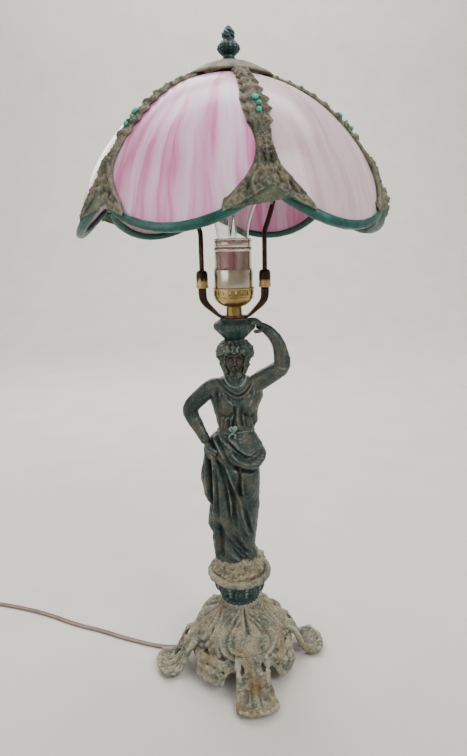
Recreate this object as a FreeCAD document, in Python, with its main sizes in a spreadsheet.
import FreeCAD, Part
import math
import os
import Sketcher

# Figural table lamp: cast base, pedestal cup and figure on one threaded rod, with a lamp
# socket, harp and six-panel glass shade above.  Millimetres, +Z up, origin at the centre of
# the feet on the table.  The front of the lamp faces -Y; an azimuth is counted from the front
# towards +X.

V = FreeCAD.Vector
doc = FreeCAD.newDocument("table_lamp")

# ---------------------------------------------------------------- driving dimensions
SIZES = {
    # fits
    "solder_gap": 0.2, "loose_gap": 0.3, "turn_gap": 0.05,
    # base casting
    "casting_wall": 4.0, "dome_top_height": 68.0, "dome_top_radius": 19.0, "dome_radius": 47.0,
    "dome_shoulder_height": 42.0, "apron_radius": 55.0, "apron_low_height": 7.0,
    "foot_turn": 11.0, "foot_reach": 88.0, "foot_width": 43.0, "foot_tip_height": 17.0,
    "foot_thickness": 5.0, "foot_slot_width": 5.0, "foot_slot_length": 13.0,
    "foot_slot_spread": 9.0, "foot_cup_radius": 10.8, "apron_window_radius": 4.0,
    "apron_window_height": 24.0,
    # threaded pipe and its hardware
    "pipe_radius": 5.1, "pipe_bore_radius": 3.3, "nut_across": 16.0, "nut_thickness": 4.0,
    "washer_radius": 12.0, "washer_thickness": 1.6, "rod_below_nut": 6.0, "rod_in_mound": 14.0,
    "bushing_height": 3.0, "bushing_wall": 2.0,
    # pedestal cup
    "cup_neck_radius": 18.0, "cup_rim_radius": 32.5, "cup_height": 36.0, "cup_recess_radius": 25.4,
    "cup_recess_depth": 3.0,
    # figure casting
    "mound_radius": 25.0, "mound_height": 20.0, "figure_height": 210.0, "skirt_width": 57.0,
    "skirt_depth": 38.0, "waist_width": 36.0, "shoulder_width": 40.0, "head_width": 27.0,
    "head_above_shoulder": 12.0, "urn_radius": 18.7, "urn_height": 23.5, "core_bore_radius": 4.6,
    "nipple_in_urn": 14.0,
    # harp saddle, sleeves and harp
    "saddle_thickness": 2.5, "saddle_depth": 10.0, "saddle_disc_radius": 10.0,
    "leg_spacing": 57.7, "saddle_rise": 28.0,
    "saddle_arm_width": 7.4, "pin_radius": 3.4, "sleeve_radius": 5.3, "sleeve_height": 16.0,
    "sleeve_lip": 2.0, "harp_wire_radius": 2.2, "harp_straight": 50.0, "harp_spread_angle": 22.0,
    "harp_knee_radius": 18.0, "harp_top_radius": 38.0, "harp_end_height": 5.0, "harp_height": 214.0,
    "harp_seat_radius": 9.5, "harp_seat_thickness": 2.4, "stud_radius": 3.1, "stud_length": 11.0,
    # socket
    "neck_ring_radius": 7.3, "neck_ring_height": 8.0, "cap_radius": 18.8, "cap_height": 17.0,
    "cap_wall": 0.6, "cap_bowl_height": 10.5, "shell_in_cap": 5.0, "shell_radius": 17.85,
    "shell_top_radius": 16.7, "shell_wall": 0.5, "shell_height": 49.0, "shell_step": 23.0,
    "shell_bead_drop": 9.5, "shell_bead": 1.6,
    "liner_wall": 0.6, "screw_shell_radius": 13.9,
    "screw_shell_wall": 0.4, "screw_shell_height": 28.0, "insulator_height": 18.0,
    "knob_shaft_radius": 1.9, "knob_reach": 40.0, "knob_width": 11.0,
    # bulb
    "bulb_radius": 30.0, "bulb_length": 108.0, "bulb_base_radius": 13.1, "bulb_base_height": 25.0,
    "bulb_neck_radius": 14.5, "glass_wall": 0.8, "stem_radius": 4.0, "stem_height": 34.0,
    # shade, whose drops are counted from the seat on top of the harp
    "shade_turn": 11.4, "shade_arc_radius": 150.0, "shade_arc_offset": 14.5, "shade_arc_drop": 6.1,
    "panel_thickness": 3.0, "rib_thickness": 2.4, "rim_thickness": 1.6,
    "rim_height": 6.5, "petal_low_drop": 139.5, "petal_corner_drop": 113.0, "rib_half_width": 5.5,
    "spandrel_half_width": 27.0, "spandrel_height": 33.5, "tooth_drop": 118.0,
    "knot_half_width": 8.5, "knot_low": 49.5, "knot_high": 70.5, "knot_slope": 7.0,
    "rim_end": 8.0, "crown_radius": 36.0, "crown_overlap": 3.0, "crown_wall": 1.6,
    # finial
    "finial_height": 28.5, "finial_radius": 9.3, "finial_base_radius": 6.0,
    # cord and plug
    "cord_width": 5.4, "cord_thickness": 2.7, "coil_radius": 30.0, "coil_loops": 7.0,
    "coil_side_gap": 0.6, "coil_layer_gap": 0.8, "plug_length": 28.0, "plug_width": 24.0,
    "plug_thickness": 12.0, "blade_spacing": 12.7, "blade_length": 17.0, "blade_width": 6.3,
    "blade_thickness": 1.5,
}
sheet = doc.addObject("Spreadsheet::Sheet", "sizes")
for row, (alias, amount) in enumerate(SIZES.items(), start=1):
    sheet.set("A%d" % row, alias)
    sheet.set("B%d" % row, str(amount))
    sheet.setAlias("B%d" % row, alias)
doc.recompute()


class Size:
    """A number that remembers the sheet cells it is worked out from."""

    def __init__(self, amount, text):
        self.amount, self.text = float(amount), text

    def __add__(self, other):
        other = as_size(other)
        return Size(self.amount + other.amount, "(%s + %s)" % (self.text, other.text))

    def __sub__(self, other):
        other = as_size(other)
        return Size(self.amount - other.amount, "(%s - %s)" % (self.text, other.text))

    def __mul__(self, other):
        other = as_size(other)
        return Size(self.amount * other.amount, "(%s * %s)" % (self.text, other.text))

    def __truediv__(self, other):
        other = as_size(other)
        return Size(self.amount / other.amount, "(%s / %s)" % (self.text, other.text))

    def __neg__(self):
        return self * -1

    __radd__, __rmul__ = __add__, __mul__

    def __rsub__(self, other):
        return as_size(other) - self


def as_size(amount):
    return amount if isinstance(amount, Size) else Size(amount, "%.6g" % amount)


def root(square):
    return Size(math.sqrt(square.amount), "sqrt(%s)" % square.text)


size = {alias: Size(sheet.get(alias), "sizes." + alias) for alias in SIZES}
nodes = []          # every finished sub-part, in the order it was made


def keep(piece, name):
    piece.Label = name
    nodes.append(piece)
    return piece


# ---------------------------------------------------------------- sketches and simple bodies
def draw(sketch, corners, arcs=None):
    """Closed outline through the corners.  arcs: side number -> radius, + turning left."""
    arcs = arcs or {}
    count = len(corners)
    first = sketch.GeometryCount
    corners = [(as_size(x), as_size(y)) for x, y in corners]
    begins, ends = [], []
    for side in range(count):
        start = V(corners[side][0].amount, corners[side][1].amount, 0)
        stop = V(corners[(side + 1) % count][0].amount, corners[(side + 1) % count][1].amount, 0)
        if side not in arcs:
            sketch.addGeometry(Part.LineSegment(start, stop), False)
            begins.append(1)
            ends.append(2)
            continue
        radius = as_size(arcs[side]).amount
        along = stop - start
        left = V(-along.y, along.x, 0).normalize()
        rise = math.sqrt(radius ** 2 - (along.Length / 2) ** 2)
        centre = (start + stop) * 0.5 + left * math.copysign(rise, radius)
        low, high = (start, stop) if radius > 0 else (stop, start)
        angles = [math.atan2(point.y - centre.y, point.x - centre.x) for point in (low, high)]
        circle = Part.Circle(centre, V(0, 0, 1), abs(radius))
        sketch.addGeometry(Part.ArcOfCircle(circle, angles[0], angles[1]), False)
        begins.append(1 if radius > 0 else 2)
        ends.append(2 if radius > 0 else 1)
    for side in range(count):
        here, after = first + side, first + (side + 1) % count
        sketch.addConstraint(Sketcher.Constraint("Coincident", here, ends[side],
                                                 after, begins[(side + 1) % count]))
    for side in range(count):
        for kind, amount in zip(("DistanceX", "DistanceY"), corners[side]):
            rule = Sketcher.Constraint(kind, -1, 1, first + side, begins[side], amount.amount)
            bind(sketch, "Constraints[%d]" % sketch.addConstraint(rule), amount)
        if side in arcs:
            radius = as_size(arcs[side])
            rule = Sketcher.Constraint("Radius", first + side, abs(radius.amount))
            bind(sketch, "Constraints[%d]" % sketch.addConstraint(rule),
                 radius if radius.amount > 0 else -radius)


def bind(item, field, amount):
    amount = as_size(amount)
    if "sizes." in amount.text:
        item.setExpression(field, amount.text)


def body_sketch(body, name, role, corners, arcs=None):
    sketch = body.newObject("Sketcher::SketchObject", name)
    plane = [part for part in body.Origin.OriginFeatures if part.Role == role][0]
    sketch.AttachmentSupport = (plane, [""])
    sketch.MapMode = "FlatFace"
    draw(sketch, corners, arcs)
    return sketch


def new_body(name):
    body = doc.addObject("PartDesign::Body", name + "_body")
    body.Label = name + "_body"
    return body


def turn_profile(body, corners, arcs=None):
    sketch = body_sketch(body, body.Label + "_profile", "XZ_Plane", corners, arcs)
    turned = body.newObject("PartDesign::Revolution", body.Label + "_turning")
    turned.Profile = sketch
    turned.ReferenceAxis = (sketch, ["V_Axis"])
    turned.Angle = 360


def turned_piece(name, corners, arcs=None):
    body = new_body(name)
    turn_profile(body, corners, arcs)
    return keep(body, name)


def pad(body, role, corners, length, arcs=None, both_ways=True):
    sketch = body_sketch(body, body.Label + "_block_sketch", role, corners, arcs)
    block = body.newObject("PartDesign::Pad", body.Label + "_block")
    block.Profile = sketch
    block.Midplane = both_ways
    block.Length = as_size(length).amount
    bind(block, "Length", length)
    return block


def pocket(body, role, outlines, tag):
    """Cut right through, both ways from the body's own plane, inside the outlines."""
    sketch = body_sketch(body, body.Label + "_" + tag + "_sketch", role, *outlines[0])
    for corners, arcs in outlines[1:]:
        draw(sketch, corners, arcs)
    cut = body.newObject("PartDesign::Pocket", body.Label + "_" + tag)
    cut.Profile = sketch
    cut.Midplane = True
    cut.Type = "ThroughAll"


def swing(piece, angle, turns=0.0):
    """Turn a finished piece about the lamp's axis by a sheet angle plus a fixed share."""
    angle = as_size(angle) + turns
    piece.Placement = FreeCAD.Placement(V(0, 0, 0), FreeCAD.Rotation(V(0, 0, 1), angle.amount or 1))
    bind(piece, "Placement.Rotation.Angle", angle)


def ring(inner, outer, low, high):
    return [(inner, low), (outer, low), (outer, high), (inner, high)]


def part_sketch(name, role, corners, arcs=None):
    """A sketch outside any body, on the XZ or XY plane through the lamp's axis."""
    sketch = doc.addObject("Sketcher::SketchObject", name)
    if role == "XZ_Plane":
        sketch.Placement = FreeCAD.Placement(V(0, 0, 0), FreeCAD.Rotation(V(1, 0, 0), 90))
    draw(sketch, corners, arcs)
    return sketch


def boolean(kind, name, first, second):
    joined = doc.addObject("Part::" + kind, name)
    joined.Base, joined.Tool = first, second
    return joined


def tapered_limb(points):
    """Round limb through (x, y, z, radius) points: cones with a ball at each joint."""
    limb = None
    for (x1, y1, z1, r1), (x2, y2, z2, r2) in zip(points, points[1:]):
        start, stop = V(x1, y1, z1), V(x2, y2, z2)
        cone = Part.makeCone(r1, r2, (stop - start).Length, start, stop - start)
        limb = cone if limb is None else limb.fuse(cone)
    for x, y, z, radius in points:
        limb = limb.fuse(Part.makeSphere(radius, V(x, y, z)))
    return limb


def ellipse_wire(x, y, z, half_x, half_y):
    if half_x >= half_y:
        oval = Part.Ellipse(V(x, y, z), half_x, half_y)
    else:
        oval = Part.Ellipse(V(x, y + half_y, z), V(x + half_x, y, z), V(x, y, z))
    return Part.Wire([oval.toShape()])


def corner_arc(begin, corner, finish):
    """Arc from begin to finish, tangent there to the lines through the corner; and its radius."""
    into, out = (corner - begin).normalize(), (finish - corner).normalize()
    turn = into.getAngle(out)
    radius = (corner - begin).Length / math.tan(turn / 2)
    middle = corner + (out - into).normalize() * radius * (1 / math.cos(turn / 2) - 1)
    return Part.Arc(begin, middle, finish).toShape(), radius


def tangent_path(points):
    """Straight runs joined by tangent arcs; returns the wire and its radii."""
    points = [V(*point) for point in points]
    edges, radii, here = [], [], points[0]
    for before, corner, after in zip(points, points[1:], points[2:]):
        back = 0.45 * min((corner - before).Length, (after - corner).Length)
        begin = corner - (corner - before).normalize() * back
        finish = corner + (after - corner).normalize() * back
        arc, radius = corner_arc(begin, corner, finish)
        edges += [Part.LineSegment(here, begin).toShape(), arc]
        radii.append(radius)
        here = finish
    edges.append(Part.LineSegment(here, points[-1]).toShape())
    return Part.Wire(edges), radii


def two_arcs(start, leaving, stop, arriving):
    """Two tangent arcs from one point and direction to another."""
    across, both = stop - start, leaving + arriving
    apart = 2 * (1 - leaving.dot(arriving))
    reach = (math.sqrt(across.dot(both) ** 2 + apart * across.dot(across)) - across.dot(both)) / apart
    first, second = start + leaving * reach, stop - arriving * reach
    middle = (first + second) * 0.5
    return [corner_arc(start, first, middle)[0], corner_arc(middle, second, stop)[0]]


def flat_section(centre, along, across, width, thickness):
    """Two-conductor flat cord section: straight flats with rounded sides."""
    along, across = V(along).normalize(), V(across).normalize()
    up = along.cross(across).normalize()
    side, half = across * (width - thickness) / 2, up * thickness / 2
    nose = across * thickness / 2
    edges = [Part.LineSegment(centre - side + half, centre + side + half).toShape(),
             Part.Arc(centre + side + half, centre + side + nose, centre + side - half).toShape(),
             Part.LineSegment(centre + side - half, centre - side - half).toShape(),
             Part.Arc(centre - side - half, centre - side - nose, centre - side + half).toShape()]
    return Part.Wire(edges)


def sweep(path, section, upright=None):
    shell = Part.BRepOffsetAPI.MakePipeShell(path)
    if upright is not None:
        shell.setBiNormalMode(upright)
    shell.add(section, False, False)
    shell.build()
    shell.makeSolid()
    return shell.shape()


def shaped(name, shape):
    piece = doc.addObject("Part::Feature", name)
    piece.Shape = shape
    return keep(piece, name)


# ---------------------------------------------------------------- heights that pieces share
dome_top = size["dome_top_height"]
cup_top = dome_top + size["cup_height"]
figure_foot = cup_top - size["cup_recess_depth"]
urn_low = figure_foot + size["mound_height"] + size["figure_height"] + size["head_above_shoulder"]
urn_top = urn_low + size["urn_height"]
saddle_top = urn_top + size["saddle_thickness"]
cap_low = saddle_top + size["neck_ring_height"]
cap_top = cap_low + size["cap_height"]
shell_low = cap_top - size["shell_in_cap"]
shell_top = shell_low + size["shell_height"]
seat_height = urn_top + size["harp_height"]
crown_low = seat_height
shade_centre = seat_height - size["shade_arc_radius"] - size["shade_arc_drop"]
petal_low = seat_height - size["petal_low_drop"]
petal_corner = seat_height - size["petal_corner_drop"]
finial_low = crown_low + size["crown_wall"]
glass_reach = size["crown_radius"] - size["crown_overlap"]
PANEL_HALF_ANGLE = 29.7          # just under a sixth of a turn, which leaves the lead line
pipe_hole = size["pipe_radius"] + size["loose_gap"]
nipple_top = cap_low + 2.0
leg = size["leg_spacing"] / 2
pin_top = urn_top + size["saddle_rise"] + size["sleeve_height"] / 2
sleeve_low = urn_top + size["saddle_rise"]


# ---------------------------------------------------------------- base casting
def make_base():
    wall = size["casting_wall"]
    body = new_body("base_dome")
    top_in = size["dome_top_radius"] - wall
    shoulder = size["dome_shoulder_height"]
    turn_profile(body, [
        (pipe_hole, dome_top), (size["dome_top_radius"], dome_top),
        (size["dome_radius"] - 5.0, shoulder + 10.0), (size["dome_radius"], shoulder),
        (size["apron_radius"], size["apron_low_height"]),
        (size["apron_radius"] - wall, size["apron_low_height"]),
        (size["dome_radius"] - wall, shoulder - 2.0), (size["dome_radius"] - 5.0 - wall, shoulder + 5.5),
        (top_in, dome_top - wall - 2.0), (pipe_hole, dome_top - wall - 2.0)],
        {1: 60.0, 2: -14.0})
    feet = [make_foot(number) for number in range(4)]
    joined = doc.addObject("Part::MultiFuse", "base_with_feet")
    joined.Shapes = [body] + feet
    windows = doc.addObject("Part::MultiFuse", "apron_windows")
    cutters = []
    for number in range(4):
        window = doc.addObject("Part::Cylinder", "apron_window_%d" % (number + 1))
        window.Placement = FreeCAD.Placement(V(0, 0, 0), FreeCAD.Rotation(V(1, 0, 0), 90))
        bind(window, "Radius", size["apron_window_radius"])
        bind(window, "Height", size["apron_radius"] * 2)
        bind(window, "Placement.Base.z", size["apron_window_height"])
        holder = held("apron_window_holder_%d" % (number + 1), window, 0)
        swing(holder, size["foot_turn"], 45.0 + 90.0 * number)
        cutters.append(holder)
    windows.Shapes = cutters
    keep(boolean("Cut", "base_casting", joined, windows), "base_casting")


def make_foot(number):
    """One cupped tongue foot, made along +X and swung to its place."""
    body = new_body("foot_%d" % (number + 1))
    reach, tip, thick = size["foot_reach"], size["foot_tip_height"], size["foot_thickness"]
    root_in = size["dome_radius"] - size["casting_wall"]
    pad(body, "XZ_Plane", [
        (root_in, 46.0), (root_in + 14.0, 33.0), (reach - 23.0, tip - 2.0), (reach - 2.0, tip - 1.0),
        (reach + 1.5, tip - 3.0), (reach - 7.0, 0.0), (reach - 17.0, 0.0),
        (reach - 25.5, tip - 7.0), (root_in + 10.0, 33.0 - thick), (root_in, 46.0 - thick * 1.8)],
        size["foot_width"], {2: size["foot_cup_radius"]})
    half = size["foot_width"] / 2
    far, side_clear = reach * 2, size["foot_width"] * 1.5
    front = reach + 2.0 - half
    tongue = ([(0.0, -half), (front, -half), (front, half), (0.0, half)], {1: half + 0.01})
    around = ([(-side_clear, -side_clear), (far, -side_clear), (far, side_clear),
               (-side_clear, side_clear)], {})
    pocket(body, "XY_Plane", [around, tongue], "outline")
    slot_out = reach - 23.0
    slot_in = slot_out - size["foot_slot_length"]
    slot = size["foot_slot_width"]
    slots = []
    for side in (-1, 1):
        low, high = size["foot_slot_spread"] * side - slot / 2, size["foot_slot_spread"] * side + slot / 2
        slots.append(([(slot_in, low), (slot_out, low), (slot_out, high), (slot_in, high)], {}))
    pocket(body, "XY_Plane", slots, "slots")
    swing(body, size["foot_turn"], 90.0 * number - 90.0)
    return body


# ---------------------------------------------------------------- pedestal cup and pipe
def make_pedestal():
    rim, wall = size["cup_rim_radius"], size["casting_wall"]
    neck, recess = size["cup_neck_radius"], size["cup_recess_radius"]
    turned_piece("pedestal_cup", [
        (pipe_hole, dome_top), (neck, dome_top), (neck + 1.5, dome_top + 4.0),
        (neck + 3.5, dome_top + 9.0), (neck + 7.5, dome_top + 21.0), (rim - 4.0, cup_top - 10.0),
        (rim, cup_top - 7.0), (rim, cup_top - 3.0), (rim - 3.0, cup_top), (recess, cup_top),
        (recess, figure_foot), (pipe_hole, figure_foot)],
        {2: 5.0, 6: 4.0, 7: 4.5})


def make_pipe_hardware():
    pipe, bore = size["pipe_radius"], size["pipe_bore_radius"]
    ceiling = dome_top - size["casting_wall"] - 2.0
    washer_low = ceiling - size["washer_thickness"]
    nut_low = washer_low - size["nut_thickness"]
    rod_low = nut_low - size["rod_below_nut"]
    rod_top = figure_foot + size["rod_in_mound"]
    turned_piece("threaded_rod", ring(bore, pipe, rod_low, rod_top))
    turned_piece("base_washer", ring(pipe + size["turn_gap"], size["washer_radius"], washer_low, ceiling))
    hexagon = []
    for corner in range(6):
        angle = math.radians(60 * corner + 30)
        out = size["nut_across"] / 2 / math.cos(math.radians(30))
        hexagon.append((out * math.cos(angle), out * math.sin(angle)))
    body = new_body("base_nut")
    block = pad(body, "XY_Plane", hexagon, size["nut_thickness"], both_ways=False)
    bind(block.Profile[0], "AttachmentOffset.Base.z", nut_low)
    bore_cut = body.newObject("PartDesign::Pocket", "base_nut_bore")
    circle = body.newObject("Sketcher::SketchObject", "base_nut_bore_sketch")
    circle.AttachmentSupport = ([part for part in body.Origin.OriginFeatures
                                 if part.Role == "XY_Plane"][0], [""])
    circle.MapMode = "FlatFace"
    circle.addGeometry(Part.Circle(V(0, 0, 0), V(0, 0, 1), pipe.amount), False)
    circle.addConstraint(Sketcher.Constraint("Coincident", 0, 3, -1, 1))
    rule = circle.addConstraint(Sketcher.Constraint("Radius", 0, pipe.amount))
    bind(circle, "Constraints[%d]" % rule, pipe + size["turn_gap"])
    bore_cut.Profile = circle
    bore_cut.Midplane = True
    bore_cut.Type = "ThroughAll"
    keep(body, "base_nut")
    bushing_low = rod_low - size["bushing_height"]
    turned_piece("cord_bushing", ring(
        size["cord_width"] / 2 + size["solder_gap"], pipe + size["bushing_wall"], bushing_low,
        rod_low - size["turn_gap"]))
    return bushing_low


# ---------------------------------------------------------------- figure
def figure_sections():
    """Oval sections of the robed figure: height above the mound, centre x, half x, half y."""
    skirt, deep = SIZES_NOW["skirt_width"] / 2, SIZES_NOW["skirt_depth"] / 2
    waist, wide = SIZES_NOW["waist_width"] / 2, SIZES_NOW["shoulder_width"] / 2
    tall = SIZES_NOW["figure_height"]
    return [(-0.04 * tall, -1.0, 0.80 * skirt, 0.92 * deep), (0.02 * tall, -3.5, 0.83 * skirt, 0.90 * deep),
            (0.11 * tall, -5.0, 0.76 * skirt, 0.85 * deep), (0.21 * tall, -5.5, 0.84 * skirt, 0.87 * deep),
            (0.33 * tall, -7.0, 0.95 * skirt, 0.92 * deep), (0.42 * tall, -7.5, 1.02 * skirt, 0.95 * deep),
            (0.51 * tall, -5.0, 1.05 * skirt, 0.98 * deep), (0.59 * tall, -4.0, 0.96 * skirt, 0.90 * deep),
            (0.65 * tall, -1.5, 1.00 * waist, 0.72 * deep), (0.70 * tall, 0.0, 1.08 * waist, 0.76 * deep),
            (0.77 * tall, 0.0, 1.12 * wide, 0.84 * deep), (0.84 * tall, 0.3, 1.17 * wide, 0.76 * deep),
            (0.89 * tall, 0.0, 0.98 * wide, 0.58 * deep), (0.92 * tall, 0.0, 0.42 * wide, 0.42 * deep)]


def make_figure():
    foot = figure_foot.amount
    mound, high = SIZES_NOW["mound_radius"], SIZES_NOW["mound_height"]
    tall, wall = SIZES_NOW["figure_height"], SIZES_NOW["casting_wall"]
    ground = foot + high
    sections = figure_sections()
    robe = Part.makeLoft([ellipse_wire(x, 0.0, ground + up, rx, ry) for up, x, rx, ry in sections], True)
    base = Part.makeCylinder(mound - SIZES_NOW["solder_gap"], 6.0, V(0, 0, foot))
    base = base.fuse(Part.makeCone(mound, mound * 0.86, high - 6.0, V(0, 0, foot + 6.0)))
    shoulder = ground + 0.9 * tall
    head = SIZES_NOW["head_width"] / 2
    head_height = ground + 0.985 * tall
    neck = Part.makeCone(8.6, 7.6, head_height - shoulder, V(0, 0, shoulder))
    skull = Part.makeSphere(head, V(0, 0, 0))
    stretch = FreeCAD.Matrix()
    stretch.scale(1.0, 1.08, 1.32)
    skull = skull.transformGeometry(stretch)
    skull.translate(V(0, -0.5, head_height))
    hair = Part.makeTorus(head * 0.76, head * 0.5, V(0, 1.5, head_height + 8.0), V(0, -0.25, 1))
    urn = urn_shape()
    outer = robe.fuse([base, neck, skull, hair, urn])
    inner = [ellipse_wire(x, 0.0, ground + up, rx - wall, ry - wall) for up, x, rx, ry in sections[1:12]]
    cavity = Part.makeLoft(inner, True)
    bore = Part.makeCylinder(SIZES_NOW["core_bore_radius"], tall, V(0, 0, ground + 0.75 * tall))
    floor_hole = Part.makeCylinder(SIZES_NOW["pipe_radius"] + SIZES_NOW["turn_gap"], high + 6.0,
                                   V(0, 0, foot))
    socket = Part.makeCylinder(SIZES_NOW["pipe_radius"] + SIZES_NOW["turn_gap"], 15.0,
                               V(0, 0, urn_top.amount - 15.0))
    casting = outer.cut([cavity, bore, floor_hole, socket])
    arms = make_arms(shoulder, outer)
    shaped("figure_casting", casting)
    for name, arm in arms:
        shaped(name, arm)


def urn_shape():
    """Small fluted vase on the head that carries the lamp fittings."""
    wide, top, low = SIZES_NOW["urn_radius"], urn_top.amount, urn_low.amount
    profile = [(0, low - 3.0), (wide * 0.52, low - 3.0), (wide * 0.5, low + 4.0), (wide * 0.67, low + 8.0),
               (wide, low + 12.5), (wide, low + 20.0), (wide * 0.73, top), (0, top)]
    points = [V(x, 0, z) for x, z in profile]
    face = Part.Face(Part.makePolygon(points + points[:1]))
    return face.revolve(V(0, 0, 0), V(0, 0, 1), 360)


def make_arms(shoulder, trunk):
    """Arms are cast apart and soldered on: one raised to the vase, one bent to the hip."""
    top = urn_top.amount
    raised = tapered_limb([(22.0, 0.0, shoulder - 6.0, 8.2), (43.5, -1.0, shoulder + 12.0, 7.6),
                           (41.4, -1.0, top - 28.0, 6.4), (34.0, -1.5, top - 14.5, 5.0),
                           (25.0, -2.0, top - 8.5, 4.4), (21.5, -4.0, top - 6.5, 3.6)])
    resting = tapered_limb([(-21.5, 0.0, shoulder - 7.5, 8.0), (-43.0, 1.0, shoulder - 30.5, 7.6),
                            (-33.5, -4.0, shoulder - 55.0, 5.0), (-29.0, -9.0, shoulder - 62.0, 4.4)])
    return [("raised_arm", raised.cut(trunk)), ("hip_arm", resting.cut(trunk))]


# ---------------------------------------------------------------- fittings above the figure
def make_saddle():
    thick, arm = size["saddle_thickness"], size["saddle_arm_width"]
    half, rise = size["leg_spacing"] / 2, size["saddle_rise"]
    floor = urn_top
    body = new_body("harp_saddle")
    outer, inner = half + arm / 2, half - arm / 2
    pad(body, "XZ_Plane", [
        (-14.0, floor), (14.0, floor), (outer - 4.0, floor + 12.0), (outer, floor + 19.0),
        (outer, floor + rise), (inner, floor + rise), (inner, floor + 20.0), (inner - 3.0, floor + 15.5),
        (12.0, floor + thick), (-12.0, floor + thick), (3.0 - inner, floor + 15.5),
        (-inner, floor + 20.0), (-inner, floor + rise), (-outer, floor + rise), (-outer, floor + 19.0),
        (4.0 - outer, floor + 12.0)], size["saddle_depth"])
    pins = []
    for side in (-1, 1):
        pin = doc.addObject("Part::Cylinder", "saddle_pin_%s" % ("left" if side < 0 else "right"))
        bind(pin, "Radius", size["pin_radius"])
        bind(pin, "Height", size["sleeve_height"] / 2 + 1.0 - size["turn_gap"])
        bind(pin, "Placement.Base.x", half * side)
        bind(pin, "Placement.Base.z", sleeve_low - 1.0)
        pins.append(pin)
    hole = doc.addObject("Part::Cylinder", "saddle_hole")
    bind(hole, "Radius", pipe_hole)
    bind(hole, "Height", thick * 2)
    bind(hole, "Placement.Base.z", floor - thick / 2)
    disc = doc.addObject("Part::Cylinder", "saddle_disc")
    bind(disc, "Radius", size["saddle_disc_radius"])
    bind(disc, "Height", thick)
    bind(disc, "Placement.Base.z", floor)
    joined = doc.addObject("Part::MultiFuse", "saddle_with_pins")
    joined.Shapes = [body, disc] + pins
    keep(boolean("Cut", "harp_saddle_strip", joined, hole), "harp_saddle")


def make_sleeves():
    for side, name in ((-1, "sleeve_left"), (1, "sleeve_right")):
        piece = turned_piece(name, [
            (size["pin_radius"] + size["loose_gap"], sleeve_low),
            (size["sleeve_radius"], sleeve_low),
            (size["sleeve_radius"], sleeve_low + size["sleeve_height"]),
            (size["harp_wire_radius"] + size["loose_gap"], sleeve_low + size["sleeve_height"]),
            (size["harp_wire_radius"] + size["loose_gap"],
             sleeve_low + size["sleeve_height"] - size["sleeve_lip"]),
            (size["pin_radius"] + size["loose_gap"],
             sleeve_low + size["sleeve_height"] - size["sleeve_lip"])])
        bind(piece, "Placement.Base.x", leg * side)


def make_harp():
    """Bent wire: straight legs, a knee, two spreading sides and a round bow over the top."""
    half, wire, bottom = leg.amount, SIZES_NOW["harp_wire_radius"], pin_top.amount
    knee = sleeve_low.amount + SIZES_NOW["harp_straight"]
    seat = seat_height.amount - SIZES_NOW["harp_seat_thickness"] - wire
    slope = math.radians(SIZES_NOW["harp_spread_angle"])
    bow, bend = SIZES_NOW["harp_top_radius"], SIZES_NOW["harp_knee_radius"]
    # the side's radius that leaves the knee at the slope and runs smoothly into the bow
    drop = seat - bow - knee
    side = (half ** 2 + drop ** 2 - bow ** 2) / (2 * (half * math.cos(slope) + drop * math.sin(slope) - bow))
    bow_centre = V(0, 0, seat - bow)
    side_centre = V(half - side * math.cos(slope), 0, knee + side * math.sin(slope))
    out = (bow_centre - side_centre).normalize()
    shoulder = bow_centre + out * bow
    cut_back = bend * math.tan(slope / 2)
    before = V(half, 0, knee - cut_back)
    # the knee's arc ends on the side arc, a little above the corner
    rise = slope - cut_back / side
    after = side_centre + V(math.cos(rise), 0, -math.sin(rise)) * side
    belly_turn = (math.atan2(out.z, out.x) - rise) / 2
    belly = side_centre + V(math.cos(belly_turn), 0, math.sin(belly_turn)) * side
    knee_arc = two_arcs(before, V(0, 0, 1), after, V(math.sin(rise), 0, math.cos(rise)))
    half_bow = [Part.LineSegment(V(half, 0, bottom), before).toShape()] + knee_arc
    half_bow.append(Part.Arc(after, belly, shoulder).toShape())
    halfway = bow_centre + (out + V(0, 0, 1)).normalize() * bow
    half_bow.append(Part.Arc(shoulder, halfway, V(0, 0, seat)).toShape())
    other_half = [edge.mirror(V(0, 0, 0), V(1, 0, 0)) for edge in reversed(half_bow)]
    path = Part.Wire(half_bow + other_half)
    section = Part.Wire([Part.Circle(V(half, 0, bottom), V(0, 0, 1), wire).toShape()])
    pin, end = SIZES_NOW["pin_radius"], SIZES_NOW["harp_end_height"]
    ends = [Part.makeCylinder(pin, end, V(half * side_sign, 0, bottom)) for side_sign in (-1, 1)]
    shaped("harp", sweep(path, section).fuse(ends))
    print("harp side radius %.1f mm, widest %.1f mm from the axis" % (side, side_centre.x + side))


def make_harp_seat():
    """Round seat and threaded stud fixed on top of the bow."""
    low, stud = seat_height - size["harp_seat_thickness"], size["stud_radius"]
    turned_piece("harp_top_stud", [
        (0.0, low), (size["harp_seat_radius"], low), (size["harp_seat_radius"], seat_height),
        (stud, seat_height), (stud, seat_height + size["stud_length"]),
        (0.0, seat_height + size["stud_length"])])


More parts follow.
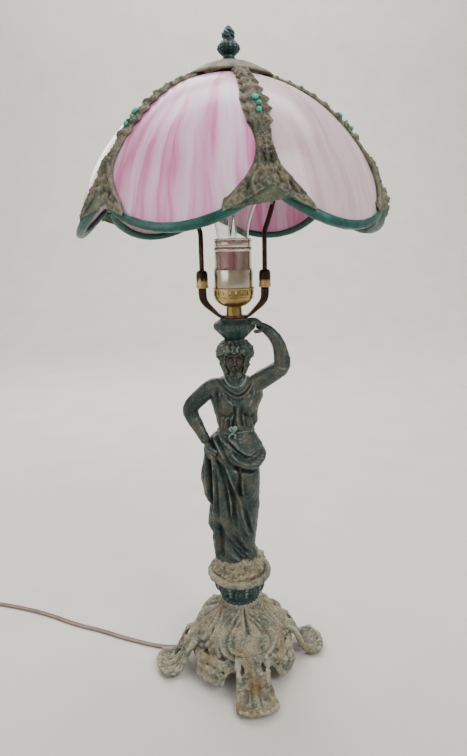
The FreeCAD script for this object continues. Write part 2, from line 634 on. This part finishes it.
def make_socket():
    pipe, bore = size["pipe_radius"], size["pipe_bore_radius"]
    gap, wall = size["turn_gap"], size["shell_wall"]
    turned_piece("upper_nipple", ring(bore, pipe, urn_top - size["nipple_in_urn"], nipple_top))
    turned_piece("neck_ring", [
        (pipe + gap, saddle_top), (size["neck_ring_radius"], saddle_top),
        (size["neck_ring_radius"], cap_low), (pipe + gap, cap_low)])
    cap, skin = size["cap_radius"], size["cap_wall"]
    bowl_top = cap_low + size["cap_bowl_height"]
    turned_piece("socket_cap", [
        (pipe + gap, cap_low), (size["neck_ring_radius"], cap_low), (cap, bowl_top),
        (cap, cap_top), (cap - skin, cap_top), (cap - skin, bowl_top),
        (size["neck_ring_radius"] + 0.5, cap_low + skin + 0.4), (pipe + gap, cap_low + skin + 0.4)],
        {1: 16.0, 5: -15.4})
    shell, narrow = size["shell_radius"], size["shell_top_radius"]
    step, bead = shell_low + size["shell_step"], shell_top - size["shell_bead_drop"]
    round_bead = size["shell_bead"]
    body = new_body("socket_shell")
    turn_profile(body, [
        (shell - wall, shell_low), (shell, shell_low), (shell, step), (narrow, step + 2.0),
        (narrow, bead - round_bead), (narrow, bead + round_bead), (narrow, shell_top),
        (narrow - wall, shell_top), (narrow - wall, step + 2.2), (shell - wall, step + 0.2)],
        {4: round_bead + 0.1})
    hole = knob_hole("shell_knob_hole")
    keep(boolean("Cut", "socket_shell_cut", body, hole), "socket_shell")
    liner = size["liner_wall"]
    out = narrow - wall - size["solder_gap"]
    body = new_body("insulating_liner")
    turn_profile(body, ring(out - liner, out, shell_low + 2.0, shell_top - 3.0))
    keep(boolean("Cut", "insulating_liner_cut", body, knob_hole("liner_knob_hole")), "insulating_liner")
    block_top = shell_low + size["insulator_height"]
    body = new_body("socket_insulator")
    screw = size["screw_shell_radius"]
    turn_profile(body, [
        (0.0, cap_low + 6.0), (12.0, cap_low + 6.0), (screw, shell_low + 2.0), (screw, block_top),
        (0.0, block_top)])
    keep(boolean("Cut", "socket_insulator_cut", body, knob_hole("insulator_knob_hole")),
         "socket_insulator")
    turned_piece("screw_shell", [
        (0.0, block_top), (screw, block_top), (screw, block_top + size["screw_shell_height"]),
        (screw - size["screw_shell_wall"], block_top + size["screw_shell_height"]),
        (screw - size["screw_shell_wall"], block_top + 0.4), (6.0, block_top + 0.4), (6.0, block_top + 0.2),
        (0.0, block_top + 0.2)])
    turned_piece("centre_contact", [
        (0.0, block_top + 0.2), (3.5, block_top + 0.2), (3.5, block_top + 0.8), (2.2, block_top + 2.2),
        (0.0, block_top + 2.2)])
    screws = []
    for side in (-1, 1):
        head = doc.addObject("Part::Cylinder", "terminal_screw_%s" % ("left" if side < 0 else "right"))
        head.Radius = 1.9
        head.Height = 1.2
        head.Placement = FreeCAD.Placement(V(0, 0, 0), FreeCAD.Rotation(V(0, 1, 0), 90))
        bind(head, "Placement.Base.x", screw + 0.02 if side > 0 else -screw - 1.22)
        bind(head, "Placement.Base.z", knob_height() - 2.0)
        screws.append(head)
    pair = doc.addObject("Part::Compound", "terminal_screw_pair")
    pair.Links = screws
    keep(pair, "terminal_screws")
    return block_top


def knob_hole(name):
    hole = doc.addObject("Part::Cylinder", name)
    hole.Placement = FreeCAD.Placement(V(0, 0, 0), FreeCAD.Rotation(V(1, 0, 0), -90))
    bind(hole, "Radius", size["knob_shaft_radius"] + size["turn_gap"])
    bind(hole, "Height", size["knob_reach"])
    bind(hole, "Placement.Base.y", size["screw_shell_radius"] - 6.0)
    bind(hole, "Placement.Base.z", knob_height())
    return hole


def knob_height():
    return cap_top + 5.0


def make_switch_knob():
    """Turn knob at the back: a round shaft and a flat oval thumb piece."""
    body = new_body("switch_knob_grip")
    near, far = size["cap_radius"] + 5.0, size["knob_reach"]
    half = size["knob_width"] / 2
    thumb = pad(body, "YZ_Plane", [
        (near, -2.6), (near + 3.0, -2.6), (near + 6.0, -half), (far - 3.0, -half), (far - 3.0, half),
        (near + 6.0, half), (near + 3.0, 2.6), (near, 2.6)], 4.6, {3: half + 0.01})
    bind(thumb.Profile[0], "AttachmentOffset.Base.y", knob_height())
    shaft = doc.addObject("Part::Cylinder", "switch_knob_shaft")
    shaft.Placement = FreeCAD.Placement(V(0, 0, 0), FreeCAD.Rotation(V(1, 0, 0), -90))
    bind(shaft, "Radius", size["knob_shaft_radius"])
    bind(shaft, "Height", size["cap_radius"] + 7.0 - size["screw_shell_radius"] + 5.0)
    bind(shaft, "Placement.Base.y", size["screw_shell_radius"] - 5.0)
    bind(shaft, "Placement.Base.z", knob_height())
    knob = doc.addObject("Part::MultiFuse", "switch_knob_whole")
    knob.Shapes = [body, shaft]
    keep(knob, "switch_knob")


def make_bulb(block_top):
    low = block_top + 2.3
    base, glass = size["bulb_base_radius"], size["glass_wall"]
    collar = low + size["bulb_base_height"]
    turned_piece("bulb_contact", [
        (0.0, low), (3.4, low), (3.4, low + 0.8), (6.5, low + 3.4), (0.0, low + 3.4)])
    turned_piece("bulb_base", [
        (0.0, low + 3.4), (8.0, low + 3.4), (base - 1.6, low + 5.0), (base, low + 6.2), (base, collar),
        (base - 0.4, collar), (base - 0.4, low + 6.4), (8.0, low + 4.4), (0.0, low + 4.4)])
    top = low + size["bulb_length"]
    ball, neck = size["bulb_radius"], size["bulb_neck_radius"]
    centre = top - ball
    joint = centre - ball * 0.6          # where the ball runs into the tapering neck
    inner = ball - glass
    neck_in = base - 0.4 - size["solder_gap"]
    turned_piece("bulb_glass", [
        (neck_in - glass, collar - 6.0), (neck_in, collar - 6.0), (neck_in, collar + 0.3),
        (neck, collar + 2.5), (ball * 0.8, joint), (0.0, top), (0.0, top - glass),
        (inner * 0.8, centre - inner * 0.6), (neck - glass, collar + 2.7), (neck_in - glass, collar + 0.5)],
        {3: -60.0, 4: ball, 6: -inner, 7: 59.0})
    stem = size["stem_radius"]
    stem_top = collar + size["stem_height"]
    turned_piece("glass_stem", [
        (0.0, collar - 5.0), (neck_in - glass - 0.3, collar - 5.0), (neck_in - glass - 0.3, collar - 4.0),
        (stem, collar + 1.0), (stem * 0.8, stem_top - 3.0), (0.0, stem_top)])
    shaped("filament_wires", filament_shape(stem_top.amount))


def filament_shape(stem_top):
    """Two lead wires that stand on the stem's point, and the filament arched between them."""
    lean, rise = V(0.55, 0, 1).normalize(), 13.5
    foot = V(2.0, 0, stem_top - 1.7)
    tip = foot + lean * rise
    leads = [Part.makeCylinder(0.35, rise, V(side * foot.x, 0, foot.z), V(side * lean.x, 0, lean.z))
             for side in (-1, 1)]
    arch = Part.Arc(tip, V(0, 0, tip.z + 4.0), V(-tip.x, 0, tip.z)).toShape()
    section = Part.Wire([Part.Circle(tip, arch.tangentAt(arch.FirstParameter), 0.3).toShape()])
    return sweep(Part.Wire([arch]), section).fuse(leads)


# ---------------------------------------------------------------- shade
def shade_reach(height, depth=0.0):
    """Radius of the shade's outer surface at a height, less a depth into the wall."""
    up = height - shade_centre
    across = size["shade_arc_radius"] - depth
    return root(across * across - up * up) - size["shade_arc_offset"]


def shade_height(reach, depth=0.0):
    """Height of the shade's outer surface at a radius, less a depth into the wall."""
    out = reach + size["shade_arc_offset"]
    across = size["shade_arc_radius"] - depth
    return root(across * across - out * out) + shade_centre


def shade_slice(name, inner_depth, outer_depth, low, top_reach, half_angle):
    """Shade wall between two depths, from a height up to a radius, facing the front."""
    arc = size["shade_arc_radius"]
    inner, outer = arc - inner_depth, arc - outer_depth
    sketch = part_sketch(name + "_wall", "XZ_Plane", [
        (shade_reach(low, inner_depth), low), (shade_reach(low, outer_depth), low),
        (top_reach, shade_height(top_reach, outer_depth)),
        (top_reach, shade_height(top_reach, inner_depth))],
        {1: outer, 3: -inner})
    wall = doc.addObject("Part::Revolution", name + "_turning")
    wall.Source = sketch
    wall.Axis, wall.Base = V(0, 0, 1), V(0, 0, 0)
    wall.Angle = half_angle * 2
    wall.Solid = True
    return held(name + "_faced", wall, -90 - half_angle)


def held(name, piece, turn):
    """A holder that turns a piece about the lamp's axis by a fixed angle."""
    holder = doc.addObject("Part::Compound", name)
    holder.Links = [piece]
    holder.Placement = FreeCAD.Placement(V(0, 0, 0), FreeCAD.Rotation(V(0, 0, 1), turn))
    return holder


def shade_cutter(name, corners, arcs):
    """Block through the front wall of the shade, with the outline seen from the front."""
    sketch = part_sketch(name + "_outline", "XZ_Plane", corners, arcs)
    block = doc.addObject("Part::Extrusion", name + "_block")
    block.Base = sketch
    block.Dir = V(0, -1, 0)
    block.DirMode = "Custom"
    bind(block, "LengthFwd", size["shade_arc_radius"])
    block.Solid = True
    return block


def arc_through(half_width, sag):
    """Radius of an arc over a chord of twice the half width with the given sag."""
    half_width, sag = as_size(half_width), as_size(sag)
    return (half_width * half_width + sag * sag) / (sag * 2)


def make_panels():
    """Six bent leaves of glass, cut round at the rim and narrow at the crown."""
    corner = petal_corner
    thick, gap = size["panel_thickness"], size["solder_gap"]
    edge = shade_reach(corner) / 2          # half the width of a panel at its corners
    for number in range(6):
        name = "glass_panel_%d" % (number + 1)
        wall = shade_slice(name, gap + thick, gap, petal_low - 6.0, glass_reach, PANEL_HALF_ANGLE)
        block = shade_cutter(name, [
            (-edge, corner + 2.0), (edge, corner + 2.0), (edge, crown_low), (-edge, crown_low)],
            {0: arc_through(edge, corner - petal_low)})
        panel = boolean("Common", name + "_leaf", wall, block)
        swing(panel, size["shade_turn"], 30.0 + 60.0 * number)
        keep(panel, name)


def make_rims():
    """Channel along each panel's round edge.  Returns one channel's outer block, facing front."""
    corner = petal_corner
    gap, skin, rim = size["solder_gap"], size["rim_thickness"], size["rim_height"]
    edge = shade_reach(corner) / 2
    edge_in = edge - size["rim_end"]
    sag = corner - petal_low
    channel_depth = size["panel_thickness"] + gap * 2
    arc = arc_through(edge, sag)
    rise = arc - root(arc * arc - edge_in * edge_in)
    band_low, band_high = petal_low + rise, petal_low + rise + rim
    bow = arc_through(edge_in, rise)
    for number in range(6):
        name = "rim_band_%d" % (number + 1)
        outer = shade_slice(name, channel_depth + 1.0, -skin, petal_low - 10.0,
                            shade_reach(corner + 30.0), PANEL_HALF_ANGLE)
        band = shade_cutter(name, [
            (-edge_in, band_low), (edge_in, band_low), (edge_in, band_high), (-edge_in, band_high)],
            {0: bow, 2: -bow})
        block = boolean("Common", name + "_band", outer, band)
        slot = shade_slice(name + "_slot", channel_depth, 0.0, petal_low - 6.0, glass_reach, 29.9)
        above = shade_cutter(name + "_slot", [
            (-edge, corner + 2.0 - gap * 2), (edge, corner + 2.0 - gap * 2), (edge, crown_low),
            (-edge, crown_low)], {0: arc})
        groove = boolean("Common", name + "_groove", slot, above)
        channel = boolean("Cut", name + "_channel", block, groove)
        swing(channel, size["shade_turn"], 30.0 + 60.0 * number)
        keep(channel, name)
    return block


def make_ribs(rim_block):
    """Cast strips over the joints between panels, spreading to a spandrel above the rims."""
    tooth = seat_height - size["tooth_drop"]
    wide, slim = size["spandrel_half_width"], size["rib_half_width"]
    knot, knot_low, knot_high = size["knot_half_width"], tooth + size["knot_low"], tooth + size["knot_high"]
    neck, slope = tooth + size["spandrel_height"], size["knot_slope"]
    right_side = [(4.0, tooth + 4.0), (wide, tooth - 9.0), (wide, tooth - 3.0), (slim, neck),
                  (slim, knot_low - slope), (knot, knot_low), (knot, knot_high), (slim, knot_high + slope),
                  (slim, crown_low)]
    left_side = [(-as_size(across), up) for across, up in reversed(right_side)]
    for number in range(6):
        name = "shade_rib_%d" % (number + 1)
        wall = shade_slice(name, 0.0, -size["rib_thickness"], tooth - 8.0, glass_reach, 20.0)
        block = shade_cutter(name, [(0.0, tooth - 5.0)] + right_side + left_side, {3: -70.0, 15: -70.0})
        strip = boolean("Common", name + "_strip", wall, block)
        rims = doc.addObject("Part::MultiFuse", name + "_rims")
        rims.Shapes = [held("%s_rim_%d" % (name, turn + 30), rim_block, turn) for turn in (-30, 30)]
        rib = boolean("Cut", name + "_trimmed", strip, rims)
        swing(rib, size["shade_turn"], 60.0 * number)
        keep(rib, name)


def make_crown():
    """Domed cap that ties the ribs together and sits on the harp's seat."""
    wall, edge = size["crown_wall"], size["crown_radius"]
    low = shade_height(edge, -size["rib_thickness"]) + size["solder_gap"]
    hole = size["stud_radius"] + size["loose_gap"]
    inner = size["harp_seat_radius"]
    turned_piece("shade_crown", [
        (hole, crown_low), (inner, crown_low), (edge, low), (edge, low + wall + 0.6),
        (inner, crown_low + wall), (hole, crown_low + wall)],
        {1: -70.0, 3: 70.0})


def make_finial():
    top = finial_low + size["finial_height"]
    wide, base = size["finial_radius"], size["finial_base_radius"]
    bore = size["stud_radius"] + size["turn_gap"]
    turned_piece("finial", [
        (bore, finial_low), (base, finial_low), (base - 1.0, finial_low + 2.5),
        (wide * 0.92, finial_low + 7.0),
        (wide, finial_low + 10.5), (wide * 0.7, finial_low + 16.0), (wide * 0.42, top - 6.0), (0.0, top),
        (0.0, seat_height + size["stud_length"] + 1.0), (bore, seat_height + size["stud_length"] + 1.0)],
        {3: 6.0})


# ---------------------------------------------------------------- cords and plug
# the route of the free cord on the table, from the bushing to the coil
CORD_FLOOR = 1.45
CORD_ROUTE = [
    (0.0, 0.0, 46.6), (-0.4, 0.1, 33.0), (-5.5, 1.2, 18.5), (-17.5, 3.7, 7.5), (-32.0, 6.8, 2.6),
    (-47.5, 10.1, CORD_FLOOR), (-63.0, 11.6, CORD_FLOOR), (-77.5, 11.0, CORD_FLOOR),
    (-93.5, 13.4, CORD_FLOOR), (-113.5, 20.2, CORD_FLOOR), (-136.0, 28.8, CORD_FLOOR),
    (-163.0, 41.0, CORD_FLOOR), (-196.0, 52.5, CORD_FLOOR), (-236.0, 73.0, CORD_FLOOR),
    (-281.0, 88.5, CORD_FLOOR), (-324.0, 99.0, CORD_FLOOR), (-362.0, 99.0, CORD_FLOOR)]
# the short tail from the top of the coil down to the plug, counted from the coil's end
TAIL_STEPS = [(0.0, 0.0, 0.0), (-17.0, -0.5, -0.6), (-35.0, 2.5, -3.2), (-52.0, 10.0, -5.6)]


def coil_point(turns, per_layer, layers):
    """One point of the piled loops and its direction, counted from the coil's centre."""
    pitch = SIZES_NOW["cord_width"] + SIZES_NOW["coil_side_gap"]
    lift = SIZES_NOW["cord_thickness"] + SIZES_NOW["coil_layer_gap"]
    layer = min(int(turns / per_layer), layers - 1)
    share = turns / per_layer - layer
    inwards = share if layer % 2 == 0 else 1 - share
    radius = SIZES_NOW["coil_radius"] + pitch * per_layer * (0.5 - inwards)
    climbs = [min(max((turns - floor * per_layer) * 2 + 0.5, 0), 1) for floor in range(1, layers)]
    angle = 2 * math.pi * turns + math.pi / 2
    return V(radius * math.cos(angle), radius * math.sin(angle), lift * sum(climbs))


def make_coil(entry):
    """Piled loops that wind in, out, in and out, climbing a layer where they turn back."""
    loops, layers = SIZES_NOW["coil_loops"], 4
    per_layer = loops / layers
    pitch = SIZES_NOW["cord_width"] + SIZES_NOW["coil_side_gap"]
    centre = entry - V(0, SIZES_NOW["coil_radius"] + pitch * per_layer / 2, 0)

    def spot(turns):
        return centre + coil_point(turns, per_layer, layers)

    quarters = int(round(loops * 4))
    nudge = 0.002
    edges = []
    for quarter in range(quarters):
        ends = [(quarter + step) / 4 for step in (0, 1)]
        headings = [(spot(turns + nudge) - spot(max(turns - nudge, 0))).normalize() for turns in ends]
        if quarter == 0:
            headings[0] = V(-1, 0, 0)
        if quarter == quarters - 1:
            headings[1] = V(-1, 0, 0)
        edges += two_arcs(spot(ends[0]), headings[0], spot(ends[1]), headings[1])
    path = Part.Wire(edges)
    print("coil run %.0f mm, least gap %.2f mm" % (path.Length, least_gap(spot, loops)))
    return path, spot(loops)


def least_gap(spot, loops, steps=48):
    """Smallest gap between the flat cord's rounded sections on different turns."""
    flat, thin = SIZES_NOW["cord_width"] - SIZES_NOW["cord_thickness"], SIZES_NOW["cord_thickness"]
    points = [spot(step / steps) for step in range(int(loops * steps) + 1)]
    gap = 1e9
    for number, point in enumerate(points):
        for other in points[number + steps // 2:]:
            level = math.hypot(point.x - other.x, point.y - other.y)
            gap = min(gap, math.hypot(max(level - flat, 0), point.z - other.z) - thin)
    return gap


def make_cords(exit_height):
    wide, thin = SIZES_NOW["cord_width"], SIZES_NOW["cord_thickness"]
    area = (wide - thin) * thin + math.pi * thin ** 2 / 4
    route = [CORD_ROUTE[0][:2] + (exit_height,)] + CORD_ROUTE[1:]
    path, radii = tangent_path(route)
    drop = V(*route[5]) - V(0, 0, route[5][2])
    cord = sweep(path, flat_section(V(*route[0]), V(*route[1]) - V(*route[0]), V(0, 0, 1).cross(drop),
                                    wide, thin))
    print("cord run %.0f mm, radii %s" % (path.Length, [round(radius) for radius in radii]))
    print("cord volume %.0f of %.0f" % (cord.Volume, area * path.Length))
    shaped("cord", cord)
    coil_path, coil_end = make_coil(V(*route[-1]))
    coil = sweep(coil_path, flat_section(V(*route[-1]), V(-1, 0, 0), V(0, 1, 0), wide, thin), V(0, 0, 1))
    print("coil volume %.0f of %.0f" % (coil.Volume, area * coil_path.Length))
    shaped("cord_coil", coil)
    tail_points = [tuple(coil_end + V(*step)) for step in TAIL_STEPS]
    tail_path, radii = tangent_path(tail_points)
    tail = sweep(tail_path, flat_section(coil_end, V(*TAIL_STEPS[1]), V(0, 1, 0), wide, thin))
    print("tail run %.0f mm, radii %s" % (tail_path.Length, [round(radius) for radius in radii]))
    shaped("cord_tail", tail)
    make_plug(V(*tail_points[-1]), V(*TAIL_STEPS[-1]) - V(*TAIL_STEPS[-2]))


def make_plug(back, heading):
    """Moulded two-blade plug lying on the table at the end of the tail."""
    long, wide, high = (SIZES_NOW["plug_" + side] for side in ("length", "width", "thickness"))
    grip = Part.makeBox(long - 5.0, wide, high, V(5.0, -wide / 2, -high / 2))
    long_edges = [edge for edge in grip.Edges if abs(edge.tangentAt(edge.FirstParameter).x) > 0.9]
    grip = grip.makeFillet(high * 0.35, long_edges)
    sleeve = Part.makeCone(SIZES_NOW["cord_width"] / 2 + 0.7, high * 0.36, 6.0, V(0, 0, 0), V(1, 0, 0))
    body = grip.fuse(sleeve)
    blades = []
    for side in (-1, 1):
        middle = side * SIZES_NOW["blade_spacing"] / 2
        thick, tall = SIZES_NOW["blade_thickness"], SIZES_NOW["blade_width"]
        blades.append(Part.makeBox(SIZES_NOW["blade_length"], thick, tall,
                                   V(long, middle - thick / 2, -tall / 2)))
    turn = math.degrees(math.atan2(heading.y, heading.x))
    place = FreeCAD.Placement(V(back.x, back.y, high / 2 + 0.05), FreeCAD.Rotation(V(0, 0, 1), turn))
    for name, shape in (("plug_body", body), ("plug_blades", Part.makeCompound(blades))):
        shaped(name, shape).Placement = place


def make_supply_lead(exit_height):
    """Flat lead up through the pipe, figure and nipple, split to the two terminals."""
    wide, thin = SIZES_NOW["cord_width"], SIZES_NOW["cord_thickness"]
    top = nipple_top.amount + 0.5
    section = flat_section(V(0, 0, exit_height), V(0, 0, 1), V(1, 0, 0), wide, thin)
    lead = Part.Face(section).extrude(V(0, 0, top - exit_height))
    core, out = thin / 5, SIZES_NOW["screw_shell_radius"] + 0.9
    for side in (-1, 1):
        bends = [(side * wide / 4, 0, top - 0.3), (side * wide * 0.4, 0, top + 1.1),
                 (side * (out - 3.0), 0, top + 2.1), (side * out, 0, top + 5.5),
                 (side * out, 0, knob_height().amount - 4.0)]
        path, radii = tangent_path(bends)
        start = V(*bends[1]) - V(*bends[0])
        ring_edge = Part.Circle(V(*bends[0]), start, core).toShape()
        lead = lead.fuse(sweep(path, Part.Wire([ring_edge])))
    shaped("supply_lead", lead)


# the sheet's values as plain numbers, for the free-form shapes
SIZES_NOW = {alias: float(sheet.get(alias)) for alias in SIZES}

make_base()
make_pedestal()
exit_height = make_pipe_hardware()
make_figure()
make_saddle()
make_sleeves()
make_harp()
make_harp_seat()
contact_height = make_socket()
make_switch_knob()
make_bulb(contact_height)
make_panels()
make_ribs(make_rims())
make_crown()
make_finial()
doc.recompute()
make_supply_lead(exit_height.amount)
make_cords(exit_height.amount)
doc.recompute()

# ---------------------------------------------------------------- check, then write the files
for item in doc.Objects:
    if "Invalid" in item.State or "Error" in item.State:
        raise RuntimeError("%s did not build" % item.Label)
os.makedirs("parts", exist_ok=True)
for node in nodes:
    shape = node.Shape
    if shape.isNull() or not shape.isValid() or not shape.Solids:
        raise RuntimeError("%s has no sound solid" % node.Label)
    shape.exportStep("parts/%s.step" % node.Label)
    box = shape.BoundBox
    print("%-18s %d solids %9.0f mm3  x %6.1f %6.1f  y %6.1f %6.1f  z %6.1f %6.1f" % (
        node.Label, len(shape.Solids), shape.Volume, box.XMin, box.XMax, box.YMin, box.YMax,
        box.ZMin, box.ZMax))
